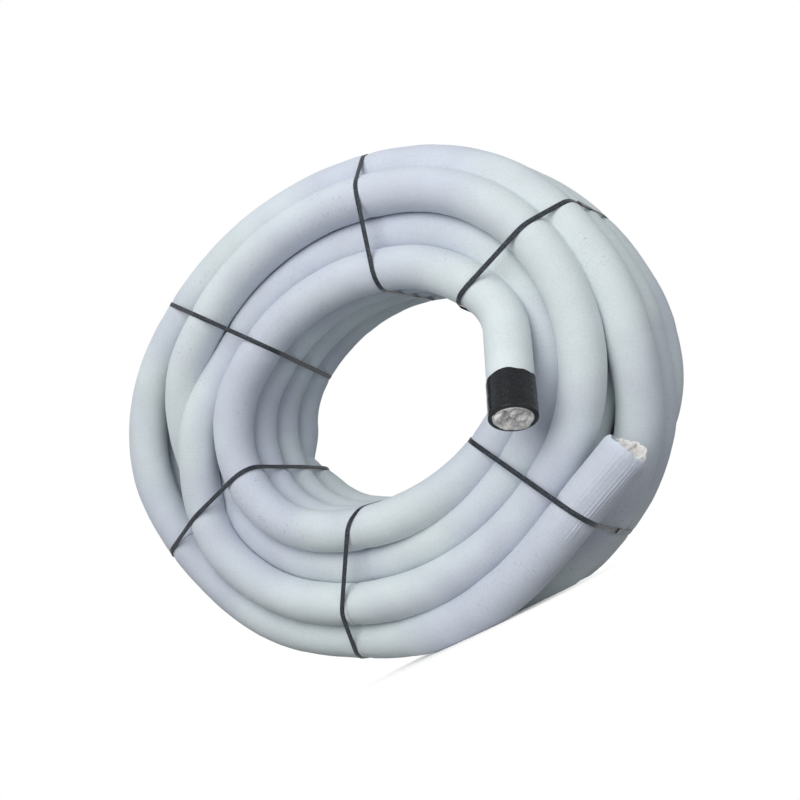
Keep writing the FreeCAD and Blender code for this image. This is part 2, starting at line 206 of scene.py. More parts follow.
def ripple(places: Array, wavelength: float, seed: int, octaves: int = 4) -> Array:
    """A calm random line of about unit height.

    Args:
        places: Where to read it, in metres.
        wavelength: Its longest wave, in metres.
        seed: Picks one line of many.
        octaves: How many finer waves ride on the longest.

    Returns:
        The line's height at each place.
    """
    draw = np.random.default_rng(seed)
    total = np.zeros_like(places, dtype=float)
    for octave in range(octaves):
        length = wavelength / (1.7**octave) * draw.uniform(0.85, 1.15)
        total += np.sin(math.tau * (places / length + draw.uniform())) / (1.6**octave)
    return total / 1.7


def crumple(points: Array, wavelength: float, seed: float, octaves: int = 3) -> Array:
    """The folds of crumpled cloth, as sharp ridges between 0 and 1.

    Args:
        points: Where to read them.
        wavelength: How far apart the largest folds lie.
        seed: Picks one pattern of many.
        octaves: How many finer folds there are.

    Returns:
        A height at each point.
    """
    finer, widest = 1.9, 0.38
    shift = Vector((seed, 2.3 * seed, 0.7 * seed))
    weights = [finer**-octave for octave in range(octaves)]
    heights = []
    for point in points.reshape(-1, 3):
        total = 0.0
        for weight in weights:
            value = noise.noise(Vector(point) / (wavelength * weight) + shift)
            total += weight * (1 - min(1.0, abs(value) / widest))
        heights.append(total / sum(weights))
    return np.array(heights).reshape(points.shape[:-1])


# The coil's form


@dataclass(frozen=True)
class Mouth:
    """A cut end: its centre, the direction into the pipe, and two directions across it."""

    centre: Array
    inward: Array
    up: Array
    side: Array

    def points(self, along: Array, radius: Array) -> Array:
        """Rings of points round the mouth's axis.

        Args:
            along: How far into the pipe each point lies, shaped rows by columns.
            radius: How far from the axis each point lies, in the same shape.

        Returns:
            The points, shaped rows by columns by 3.
        """
        turn = around(radius.shape[1])[:, None]
        ring = self.up * np.cos(turn) + self.side * np.sin(turn)
        return self.centre + self.inward * along[..., None] + ring[None] * radius[..., None]


@dataclass(frozen=True)
class Line:
    """A centre line's points, with a rough outward direction at each."""

    points: Array
    out: Array
    start: float = 0.0

    @property
    def along(self) -> Array:
        """The direction of travel at each point."""
        return unit(np.gradient(self.points, axis=0))

    @property
    def reach(self) -> Array:
        """The length of pipe up to each point, in metres."""
        return self.start + run_along(self.points)

    def frames(self) -> tuple[Array, Array, Array]:
        """A frame at each point.

        Returns:
            Directions along, outward from the eye, and across them both.
        """
        along = self.along
        out = unit(self.out - along * np.sum(self.out * along, axis=1, keepdims=True))
        return along, out, np.cross(along, out)

    def resampled(self, step: float) -> "Line":
        """The same line with even steps.

        Args:
            step: About how long they are, in metres.

        Returns:
            The new line.
        """
        run = self.reach - self.start
        at = np.linspace(0, run[-1], max(2, int(round(run[-1] / step)) + 1))
        return Line(between(at, run, self.points), unit(between(at, run, self.out)), self.start)

    def mouth(self, at: int) -> Mouth:
        """The cut end at one of its ends.

        Args:
            at: 0 for its start and -1 for its end.

        Returns:
            The mouth.
        """
        along, out, across = self.frames()
        sign = 1 if at == 0 else -1
        return Mouth(self.points[at], sign * along[at], out[at], sign * across[at])


@dataclass(frozen=True)
class Oval:
    """The eye row's centre line, an oval of four arcs that its own weight gives the coil."""

    long: float = 0.436
    short: float = 0.316
    end_half: float = math.radians(60)

    def arcs(self, angle: Array) -> tuple[Array, Array]:
        """The arc at each angle.

        Args:
            angle: Outward directions in radians.

        Returns:
            The arcs' centres and radii.
        """
        spread = self.long - self.short
        across = spread / (1 + math.tan(self.end_half) - 1 / math.cos(self.end_half))
        down = across * math.tan(self.end_half)
        wrapped = (angle + math.pi) % math.tau - math.pi
        right = np.abs(wrapped) < self.end_half
        left = np.abs(wrapped) > math.pi - self.end_half
        centres = np.zeros((len(angle), 3))
        centres[:, 0] = np.where(right, across, np.where(left, -across, 0))
        centres[:, 2] = np.where(right | left, 0, -np.sign(wrapped) * down)
        return centres, np.where(right | left, self.long - across, self.short + down)

    def line(self, wound: Array, offset: Array, depth: Array, start: float = 0.0) -> Line:
        """A line round the coil.

        Args:
            wound: Angles in degrees.
            offset: Distances outward from the eye row.
            depth: Places along Y from the coil's middle.
            start: The length of pipe before it, in metres.

        Returns:
            The line.
        """
        angle = np.radians(wound)
        points, radii = self.arcs(angle)
        out = outward(angle)
        points += out * (radii + offset)[:, None]
        points[:, 1] += depth
        return Line(points + CENTRE, out, start)


OVAL = Oval()


def read_round(table: Table, wound: Array) -> Array:
    """Reads a table that goes once round the coil.

    Args:
        table: Pairs of an angle in degrees and millimetres, in rising order.
        wound: The angles to read at, in degrees.

    Returns:
        The values, in metres.
    """
    angles, values = np.array((table[-1], *table, table[0]), dtype=float).T
    angles[[0, -1]] += (-TURN, TURN)
    return hermite(angles, values, (wound - angles[0]) % TURN + angles[0]) * MM


# How the outer layer lies off its even oval, outward and along Y: it rides over the turns
# that cross below it, and the bands pull it in at the top right. The front tables come on
# top at the front turn, and half of them at the middle one.
SLACK_OUTWARD: Table = (
    (0, -16), (20, -28), (45, -30), (75, -20), (100, -4), (130, 14), (160, 30), (185, 16),
    (205, 6), (225, 6), (245, 0), (265, 12), (290, 34), (315, 31), (340, 6),
)
FRONT_OUTWARD: Table = (
    (0, -4), (45, -2), (75, -4), (110, 4), (150, 16), (165, 16), (200, 4), (260, 0),
    (300, -4), (335, -9),
)
SLACK_BACK: Table = ((0, 0), (45, 0), (90, 0), (160, -20), (200, -8), (250, 0), (310, 0))
FRONT_BACK: Table = (
    (0, 0), (20, 8), (60, 14), (90, 10), (130, -8), (160, -14), (190, -6), (220, -2), (260, 0),
)


@dataclass(frozen=True)
class Layer:
    """One layer of the winding.

    Each knot has the whole turns wound before it, its angle in degrees, the layer pitches
    outward from the eye row and the pipe diameters along Y from the coil's middle. The span
    is the part that its piece shows, in degrees wound. Where turns cross, they bulge. The
    slack shows in the outer layer.
    """

    name: str
    knots: tuple[tuple[int, float, float, float], ...]
    span: tuple[float, float]
    slack: bool = False
    crossing: tuple[float, float] = (0.0, TURN)
    bulge: float = 0.0

    def place(self, wound: Array, loose: Array | float = 1.0) -> tuple[Array, Array]:
        """Where the layer's centre line lies.

        Args:
            wound: Angles wound so far, in degrees.
            loose: How much of the slack shows, from 0 to 1.

        Returns:
            Distances outward from the eye row and places along Y.
        """
        count, angle, layers, slots = np.array(self.knots, dtype=float).T
        layer = hermite(TURN * count + angle, layers, wound)
        slot = hermite(TURN * count + angle, slots, wound)
        offset, depth = layer * LAYER, slot * DIAMETER
        if self.slack:
            share = np.clip(layer - 2, 0, 1) * loose
            front = np.clip((1 - slot) / 2, 0, 1) * share
            offset = offset + share * read_round(SLACK_OUTWARD, wound)
            offset = offset + front * read_round(FRONT_OUTWARD, wound)
            depth = depth + share * read_round(SLACK_BACK, wound)
            depth = depth + front * read_round(FRONT_BACK, wound)
        part = ((wound - self.crossing[0]) % TURN) / (self.crossing[1] - self.crossing[0])
        return offset + self.bulge * np.where(part < 1, np.sin(math.pi * part) ** 2, 0), depth

    def line(self, start: float = 0.0) -> Line:
        """The layer's centre line over its span.

        Args:
            start: The length of pipe before it, in metres.

        Returns:
            The line, with four points a degree.
        """
        first, last = self.span
        wound = np.linspace(first, last, int((last - first) * 4) + 2)
        return OVAL.line(wound, *self.place(wound), start)


EYE_ROW = Layer(
    "sleeve_eye_row",
    (
        (0, 60, 0, -1.487), (0, 248, 0, -1.5), (0, 322, 0, -0.5), (1, 248, 0, -0.5),
        (1, 322, 0, 0.5), (2, 248, 0, 0.5), (2, 322, 0, 1.5), (3, 154, 0, 1.5), (3, 209, 1, 1),
    ),
    span=(60, 3 * TURN + 182),
    crossing=(248, 322),
    bulge=5 * MM,
)
SECOND = Layer(
    "sleeve_second_layer",
    (
        (3, 154, 0, 1.5), (3, 209, 1, 1), (4, 135, 1, 1), (4, 205, 1, 0), (5, 135, 1, 0),
        (5, 205, 1, -1), (6, 112, 1, -1), (6, 160, 1.3, -1.55), (6, 205, 2, -1.5),
        (6, 290, 2, -1.5),
    ),
    span=(3 * TURN + 182, 6 * TURN + 250),
)
THIRD = Layer(
    "sleeve_third_layer",
    (
        (6, 205, 2, -1.5), (7, 122, 2, -1.5), (7, 200, 2, -0.5), (8, 130, 2, -0.5),
        (8, 200, 2, 0.5), (9, 130, 2, 0.5), (9, 200, 2, 1.5), (10, 140, 2, 1.5), (10, 205, 3, 1),
    ),
    span=(6 * TURN + 250, 10 * TURN + 172),
    slack=True,
)
FOURTH = Layer(
    "sleeve_fourth_layer",
    (
        (10, 140, 2, 1.5), (10, 205, 3, 1), (10, 280, 3, 1), (10, 345, 3, 0), (11, 280, 3, 0),
        (11, 345, 3, -1), (12, 320, 3, -1),
    ),
    span=(10 * TURN + 172, 12 * TURN + 187),
    slack=True,
)
EYE_BACK = Layer(
    "sleeve_eye_row_back",
    ((0, 150, 0.5, 0.8), (0, 205, 0, 1.5), (0, 240, 0, 1.5), (0, 295, 0.5, 0.8)),
    span=(150, 295),
)
RIM_BACK = Layer(
    "sleeve_rim_back",
    ((0, 285, 2.5, 0.8), (0, 335, 3, 1), (1, 145, 3, 1), (1, 200, 2.5, 0.8)),
    span=(285, TURN + 200),
    slack=True,
)


# Meshes


class MeshBuilder:
    """Gathers sheets and tubes of four-sided faces into one mesh."""

    def __init__(self, name: str) -> None:
        """Starts an empty mesh.

        Args:
            name: The object's name.
        """
        self.name = name
        self.points: list[Array] = []
        self.faces: list[Array] = []
        self.uvs: list[Array] = []
        self.count = 0

    def grid(
        self, points: Array, uvs: Array, form: Form = Form.TUBE, turned: bool = False
    ) -> "MeshBuilder":
        """Adds a grid of faces.

        Args:
            points: Rows of points, shaped rows by columns by 3.
            uvs: Surface coordinates in metres, with one more row and column than points.
            form: What the grid closes into.
            turned: Whether the faces look the other way.

        Returns:
            The builder.
        """
        rows, columns = points.shape[:2]
        spans, strips = rows - (form is not Form.RING), columns - (form is Form.SHEET)
        row, column = np.meshgrid(np.arange(spans), np.arange(strips), indexing="ij")
        places = [(row, column), (row, column + 1), (row + 1, column + 1), (row + 1, column)]
        if turned:
            places.reverse()
        index = np.stack([(r % rows) * columns + c % columns for r, c in places], axis=-1)
        shown = np.stack([uvs[r, c] for r, c in places], axis=-2)
        self.faces += list(self.count + index.reshape(-1, 4))
        self.uvs.append(shown.reshape(-1, 2))
        if form is Form.TUBE:
            ring = self.count + np.arange(columns)
            self.faces += [ring[::-1], (rows - 1) * columns + ring]
            self.uvs.append(np.zeros((2 * columns, 2)))
        self.points.append(points.reshape(-1, 3))
        self.count += rows * columns
        return self

    def build(self) -> Piece:
        """Makes the object.

        Returns:
            The object, linked and shaded smooth, with flat caps.
        """
        mesh = bpy.data.meshes.new(self.name)
        mesh.from_pydata(np.concatenate(self.points), [], [face.tolist() for face in self.faces])
        mesh.polygons.foreach_set("use_smooth", [len(face) == 4 for face in self.faces])
        layer = mesh.uv_layers.new(name="metres")
        layer.data.foreach_set("uv", np.concatenate(self.uvs).ravel().astype(np.float32))
        mesh.validate()
        piece = bpy.data.objects.new(self.name, mesh)
        bpy.context.scene.collection.objects.link(piece)
        return piece


def surface_coordinates(run: Array, across: Array) -> Array:
    """Surface coordinates of a grid, one row and column past its points.

    Args:
        run: The length run at each row.
        across: The length across at each column.

    Returns:
        The coordinates in metres.
    """
    longer = [np.append(values, 2 * values[-1] - values[-2]) for values in (run, across)]
    return np.stack(np.meshgrid(*longer, indexing="ij"), axis=-1)


def tube_points(line: Line, radii: Array) -> tuple[Array, Array]:
    """Rings of points round a line.

    Args:
        line: The line.
        radii: The radius at each of its points and at each column.

    Returns:
        The points, and their surface coordinates in metres.
    """
    _, out, across = line.frames()
    turn = around(radii.shape[1])
    ring = out[:, None] * np.cos(turn)[:, None] + across[:, None] * np.sin(turn)[:, None]
    points = line.points[:, None] + ring * radii[..., None]
    return points, surface_coordinates(line.reach, turn * RADIUS)


def spun(profile: list[tuple[float, float]], columns: int) -> tuple[Array, Array]:
    """A profile carried round a mouth's axis.

    Args:
        profile: Pairs of a place along the axis and a radius, in millimetres.
        columns: How many points a ring has.

    Returns:
        The places and the radii in metres, shaped rows by columns.
    """
    along, radius = np.array(profile).T[:, :, None] * MM + np.zeros(columns)
    return along, radius


# Finishes


def linear(hex_code: str) -> tuple[float, ...]:
    """A colour as the shader wants it.

    Args:
        hex_code: Six sRGB hex digits.

    Returns:
        Linear red, green, blue and 1.
    """
    parts = [int(hex_code[at : at + 2], 16) / 255 for at in (0, 2, 4)]
    curved = [p / 12.92 if p <= 0.04045 else ((p + 0.055) / 1.055) ** 2.4 for p in parts]
    return (*curved, 1.0)


class Nodes:
    """A material's or world's node tree, with short ways to add nodes."""

    def __init__(self, name: str, kind: str = "Material") -> None:
        """Starts a material or world with nothing but its output.

        Args:
            name: Its name.
            kind: Material or World.
        """
        makers = {"Material": bpy.data.materials, "World": bpy.data.worlds}
        self.owner = makers[kind].new(name)
        self.owner.use_nodes = True
        self.tree = self.owner.node_tree
        self.tree.nodes.clear()
        self.output = self.tree.nodes.new("ShaderNodeOutput" + kind)

    def add(self, kind: str, settings: dict | None = None, **inputs: object) -> bpy.types.Node:
        """Adds a node.

        Args:
            kind: The node's type, without its ShaderNode prefix.
            settings: Its properties.
            inputs: Its sockets by name with underscores, or by i and number, each a value,
                a colour's hex digits or another node's socket.

        Returns:
            The node.
        """
        node = self.tree.nodes.new("ShaderNode" + kind)
        for name, value in (settings or {}).items():
            setattr(node, name, value)
        for name, value in inputs.items():
            numbered = name[0] == "i" and name[1:].isdigit()
            socket = node.inputs[int(name[1:]) if numbered else name.replace("_", " ")]
            if isinstance(value, Socket):
                self.tree.links.new(value, socket)
            else:
                socket.default_value = linear(value) if isinstance(value, str) else value
        return node

    def place(self) -> Socket:
        """Where each point is.

        Returns:
            The point in the object's own space.
        """
        return self.add("TexCoord").outputs["Object"]

    def surface(self) -> tuple[Socket, Socket, Socket]:
        """Where each point is on its surface.

        Returns:
            The surface coordinates in metres, and their parts along and across.
        """
        surface = self.add("UVMap", {"uv_map": "metres"}).outputs["UV"]
        parts = self.add("SeparateXYZ", Vector=surface).outputs
        return surface, parts["X"], parts["Y"]

    def noise(self, place: Socket, scale: float, detail: float = 3.0, **inputs: object) -> Socket:
        """A noise pattern.

        Args:
            place: Where each point is.
            scale: Waves a metre.
            detail: How many finer waves there are.
            inputs: More sockets of the node.

        Returns:
            The pattern's value.
        """
        node = self.add("TexNoise", Vector=place, Scale=scale, Detail=detail, **inputs)
        return node.outputs["Fac"]

    def math(self, operation: str, first: object, second: object = 0.0) -> Socket:
        """Works out a number.

        Args:
            operation: The math node's operation.
            first: Its first number.
            second: Its second number.

        Returns:
            The result.
        """
        return self.add("Math", {"operation": operation}, i0=first, i1=second).outputs[0]

    def ramp(
        self, value: Socket, low: float, high: float, first: float = 0.0, last: float = 1.0
    ) -> Socket:
        """Maps a range of a value smoothly onto another.

        Args:
            value: The value.
            low: The start of its range.
            high: The end of its range.
            first: The result at the start.
            last: The result at the end.

        Returns:
            The result.
        """
        limits = {"From_Min": low, "From_Max": high, "To_Min": first, "To_Max": last}
        settings = {"interpolation_type": "SMOOTHSTEP"}
        return self.add("MapRange", settings, Value=value, **limits).outputs[0]

    def mix(self, amount: Socket, first: Socket | str, second: Socket | str) -> Socket:
        """Blends two colours.

        Args:
            amount: How much of the second shows.
            first: The first colour.
            second: The second colour.

        Returns:
            The blend.
        """
        return self.add("Mix", {"data_type": "RGBA"}, i0=amount, i6=first, i7=second).outputs[2]

    def bump(self, height: Socket, strength: float, distance: float, **below: Socket) -> Socket:
        """Raises a surface.

        Args:
            height: The height pattern.
            strength: How much of it shows.
            distance: The height of its full range, in metres.
            below: The surface below, as Normal.

        Returns:
            The new surface direction.
        """
        node = self.add("Bump", Height=height, Strength=strength, Distance=distance, **below)
        return node.outputs[0]

    def finish(self, kind: str = "BsdfPrincipled", **inputs: object) -> bpy.types.ID:
        """Ends the tree with a shader.

        Args:
            kind: The shader node's type.
            inputs: Its sockets.

        Returns:
            The material or world.
        """
        self.tree.links.new(self.add(kind, **inputs).outputs[0], self.output.inputs["Surface"])
        return self.owner


class Finishes:
    """Every finish, made once."""

    def __init__(self) -> None:
        """Makes the materials."""
        self.by_slot = {
            Slot.FLEECE: self.needled_fleece(),
            Slot.TAPE: self.glossy_tape(),
            Slot.PIPE: self.extruded_pipe(),
            Slot.TUCKED: self.tucked_fleece(),
            Slot.STRAP: self.embossed_strap(),
            Slot.SEAL: self.lacquered_seal(),
        }

    @staticmethod
    def needled_fleece() -> Material:
        """White polypropylene fleece, needle-punched and heat-set over the pipe's waves.

        It gives the eye a dead matt white with a cold lavender cast, faint rings where the waves
        press through, with painted shade tinting the ring troughs grey, loose fibres, and grey rubs
        where the coil was dragged.

        Returns:
            The material.
        """
        # The grey serves both for soil and as painted shade in the troughs of the rings.
        wave, soil_and_groove_shade = 9.5 * MM, "8B8F86"
        nodes = Nodes("needle_punched_fleece")
        place = nodes.place()
        surface, run, across = nodes.surface()
        wobble = nodes.math("MULTIPLY", nodes.noise(place, 14.0, 2.0), 0.012)
        phase = nodes.math("MULTIPLY", nodes.math("ADD", run, wobble), math.tau / wave)
        patch = nodes.ramp(nodes.noise(place, 3.3, 2.0), 0.42, 0.66)
        shown = nodes.math("ADD", nodes.math("MULTIPLY", patch, 0.75), 0.25)
        rings = nodes.math("MULTIPLY", nodes.math("SINE", phase), shown)
        drift = nodes.ramp(nodes.noise(place, 2.2, 2.0), 0.38, 0.62)
        cloud = nodes.ramp(nodes.noise(place, 9.0, 4.0, Roughness=0.6), 0.3, 0.75, 0.0, 0.10)
        mottle = nodes.noise(surface, 130.0, 4.0, Roughness=0.75)
        tint = nodes.mix(drift, "DAE2E5", "CED3E1")
        tint = nodes.mix(cloud, tint, soil_and_groove_shade)
        tint = nodes.mix(nodes.ramp(mottle, 0.4, 0.72, 0.0, 0.12), tint, soil_and_groove_shade)
        # Painted shade: the troughs of the rings are tinted toward the grey, as though shade fell
        # in them.
        tint = nodes.mix(nodes.ramp(rings, -1.0, 1.0, 0.035, 0.0), tint, soil_and_groove_shade)
        dashes = nodes.add("CombineXYZ", X=nodes.math("MULTIPLY", run, 5.5), Y=across, Z=0.0)
        rub = nodes.ramp(nodes.noise(dashes.outputs[0], 60.0, 2.0), 0.66, 0.71)
        sparse = nodes.ramp(nodes.noise(place, 5.0, 1.0), 0.57, 0.67)
        marks = nodes.math("MULTIPLY", nodes.math("MULTIPLY", rub, sparse), 0.6)
        tint = nodes.mix(marks, tint, "5C5F5B")
        felt = nodes.noise(place, 260.0, 4.0, Roughness=0.65, Distortion=0.6)
        fibre = nodes.noise(place, 900.0, 3.0, Roughness=0.7)
        normal = nodes.bump(rings, 0.5, 0.14 * MM)
        normal = nodes.bump(felt, 0.5, 0.9 * MM, Normal=normal)
        normal = nodes.bump(fibre, 0.4, 0.25 * MM, Normal=normal)
        return nodes.finish(
            Base_Color=tint,
            Roughness=0.95,
            IOR=1.49,
            Specular_IOR_Level=0.25,
            Sheen_Weight=0.15,
            Sheen_Roughness=0.6,
            Normal=normal,
        )

    @staticmethod
    def glossy_tape() -> Material:
        """Black PVC tape wound round the mouth by hand, so it wrinkles and shines.

        Returns:
            The material.
        """
        nodes = Nodes("hand_wound_pvc_tape")
        surface, _, _ = nodes.surface()
        stretch = nodes.add("Mapping", Vector=surface, Scale=(1.0, 0.22, 1.0)).outputs[0]
        creases = nodes.noise(stretch, 120.0, 4.0, Roughness=0.6, Distortion=1.2)
        # Light flecks: partly dust, and partly painted glints that stand in for the tape's small
        # highlights.
        dust = nodes.noise(nodes.place(), 400.0)
        # Painted shade: the tape is darker in the crease hollows and lighter on their crests.
        colour = nodes.mix(nodes.ramp(creases, 0.45, 0.75), "0B0E13", "191D24")
        return nodes.finish(
            Base_Color=nodes.mix(nodes.ramp(dust, 0.64, 0.74, 0.0, 0.35), colour, "8A9098"),
            Roughness=nodes.ramp(dust, 0.3, 0.7, 0.2, 0.3),
            IOR=1.53,
            Specular_IOR_Level=0.2,
            Coat_Weight=0.08,
            Coat_Roughness=0.1,
            Normal=nodes.bump(creases, 0.3, 0.35 * MM),
        )

    @staticmethod
    def extruded_pipe() -> Material:
        """Black polyethylene pipe, blown against corrugated moulds: satin, with mould lines.

        Returns:
            The material.
        """
        nodes = Nodes("mould_blown_polyethylene")
        place = nodes.place()
        flow = nodes.noise(place, 80.0, 4.0)
        dust = nodes.noise(place, 600.0, 2.0)
        colour = nodes.mix(nodes.ramp(flow, 0.4, 0.7), "24262A", "34373C")
        return nodes.finish(
            Base_Color=nodes.mix(nodes.ramp(dust, 0.6, 0.8, 0.0, 0.4), colour, "8A8A84"),
            Roughness=nodes.ramp(flow, 0.3, 0.7, 0.38, 0.55),
            IOR=1.51,
            Normal=nodes.bump(flow, 0.3, 0.3 * MM),
        )

    @staticmethod
    def tucked_fleece() -> Material:
        """The same fleece pushed into a mouth, creased, greyed by hands and dust.

        Returns:
            The material.
        """
        nodes = Nodes("crumpled_dusty_fleece")
        place = nodes.place()
        cloud = nodes.noise(place, 45.0, 4.0, Roughness=0.6)
        fibre = nodes.noise(place, 900.0, 3.0, Roughness=0.7)
        fold = nodes.noise(place, 110.0, 3.0, Distortion=1.5)
        normal = nodes.bump(fold, 0.5, 1.2 * MM)
        return nodes.finish(
            Base_Color=nodes.mix(nodes.ramp(cloud, 0.38, 0.66), "F1EFEE", "D3CECB"),
            Roughness=0.95,
            IOR=1.49,
            Specular_IOR_Level=0.2,
            Sheen_Weight=0.15,
            Normal=nodes.bump(fibre, 0.4, 0.3 * MM, Normal=normal),
        )

    @staticmethod
    def embossed_strap() -> Material:
        """Black polypropylene strapping with a rolled diamond pattern that breaks up its shine.

        Returns:
            The material.
        """
        nodes = Nodes("rolled_polypropylene_strap")
        surface, run, across = nodes.surface()
        fineness = math.tau / (2.6 * MM)
        one, two = (
            nodes.math("SINE", nodes.math("MULTIPLY", nodes.math(way, run, across), fineness))
            for way in ("ADD", "SUBTRACT")
        )
        scuff = nodes.noise(surface, 160.0)
        return nodes.finish(
            Base_Color=nodes.mix(nodes.ramp(scuff, 0.45, 0.8), "1F242C", "525A66"),
            Roughness=nodes.ramp(scuff, 0.3, 0.7, 0.32, 0.5),
            IOR=1.49,
            Specular_IOR_Level=0.3,
            Normal=nodes.bump(nodes.math("MULTIPLY", one, two), 0.6, 0.25 * MM),
        )

    @staticmethod
    def lacquered_seal() -> Material:
        """Thin steel sleeve in dark lacquer, rubbed bright in scattered spots.

        Returns:
            The material.
        """
        nodes = Nodes("dark_lacquered_steel")
        rub = nodes.noise(nodes.place(), 500.0)
        return nodes.finish(
            Base_Color=nodes.mix(nodes.ramp(rub, 0.55, 0.7), "2A2D33", "6D7178"),
            Metallic=0.6,
            Roughness=nodes.ramp(rub, 0.3, 0.7, 0.35, 0.5),
            IOR=2.5,
            Normal=nodes.bump(rub, 0.3, 0.15 * MM),
        )

    def dress(self, piece: Piece, slot: Slot, *stands_for: str) -> None:
        """Gives a piece its finish and its place in the model.

        Args:
            piece: The piece.
            slot: The material slot that it takes.
            stands_for: The solids that it stands for.
        """
        piece.data.materials.append(self.by_slot[slot])
        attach(piece, "root")
        if stands_for:
            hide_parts(*stands_for)
        LOG.info("made %s with %d faces", piece.name, len(piece.data.polygons))


# The winding


@dataclass(frozen=True)
class Band:
    """One strap: its angle in degrees, and how it slants along the turns.

    It moves along them by slant as it runs outward, and by lean as it runs back.
    """

    number: int
    angle: float
    slant: float
    lean: float

    def axes(self) -> tuple[Array, Array, Array]:
        """The strap's own directions.

        Returns:
            A point on the eye row, and the outward and tangential directions there.
        """
        angle = np.full(1, math.radians(self.angle))
        out = outward(angle)[0]
        centre, radius = OVAL.arcs(angle)
        return CENTRE + centre[0] + out * radius[0], out, np.array([-out[2], 0.0, out[0]])

    def aside(self, offset: Array, depth: Array) -> Array:
        """How far the slanting strap lies along the turns.

        Args:
            offset: Distances outward from the eye row.
            depth: Places along Y from the coil's middle.

        Returns:
            Distances in metres.
        """
        return self.slant * (offset - MIDDLE) + self.lean * depth

    def flattened(self, points: Array) -> tuple[Array, Array, Array]:
        """Points as the strap sees them.

        Args:
            points: The points.

        Returns:
            Their distances outward from the eye row, along Y and from the strap along the
            turns, the last one far for points elsewhere round the coil.
        """
        foot, out, along = self.axes()
        local = points - foot
        offset, depth = local @ out, local[..., 1]
        distance = local @ along - self.aside(offset, depth)
        return offset, depth, np.where(np.abs(offset - MIDDLE) < 0.3, distance, FAR)

    def raised(self, flat: Array) -> Array:
        """Points in space from the strap's plane.

        Args:
            flat: Distances outward from the eye row and along Y.

        Returns:
            The points.
        """
        foot, out, along = self.axes()
        offset, depth = flat[:, :1], flat[:, 1:]
        in_plane = foot + out * offset + np.array([0.0, 1.0, 0.0]) * depth
        return in_plane + along * self.aside(offset, depth)


BANDS = (
    Band(1, 14.2, 0.0, -0.08),
    Band(2, 69.8, 0.07, 0.08),
    Band(3, 116.3, 0.24, 0.25),
    Band(4, 188.0, 0.06, 0.10),
    Band(5, 255.0, -0.34, 0.28),
    Band(6, 293.5, 0.15, -0.19),
)


@dataclass(frozen=True)
class TapedEnd:
    """The first turn's free end, which bends forward out of the eye row to its mouth."""

    end_angle: float = -11.25
    bend_angle: float = 14.0
    level_angle: float = 60.0
    outward: float = 36.2 * MM
    forward: float = 39.8 * MM
    sunk: float = 1.5 * MM
    run: float = 241.2 * MM

    def line(self, rest: Line) -> Line:
        """The eye row's centre line from its mouth on.

        Args:
            rest: The eye row from the level turn on.

        Returns:
            The line.
        """
        wound = np.linspace(self.end_angle, self.level_angle, 400)
        free = 1 - smooth((wound - self.end_angle) / (self.level_angle - self.end_angle))
        bend = np.clip((self.bend_angle - wound) / (self.bend_angle - self.end_angle), 0, 1)
        depth = self.sunk - 1.5 * DIAMETER - self.forward * bend**2
        bent = OVAL.line(wound, self.outward * free**2, depth)
        back = unit(bent.points[0] - bent.points[1])
        straight = bent.points[0] + back * np.linspace(self.run, 2 * MM, 90)[:, None]
        level = np.repeat(bent.out[:1], len(straight), axis=0)
        points = np.vstack([straight, bent.points, rest.points[1:]])
        return Line(points, np.vstack([level, bent.out, rest.out[1:]]))


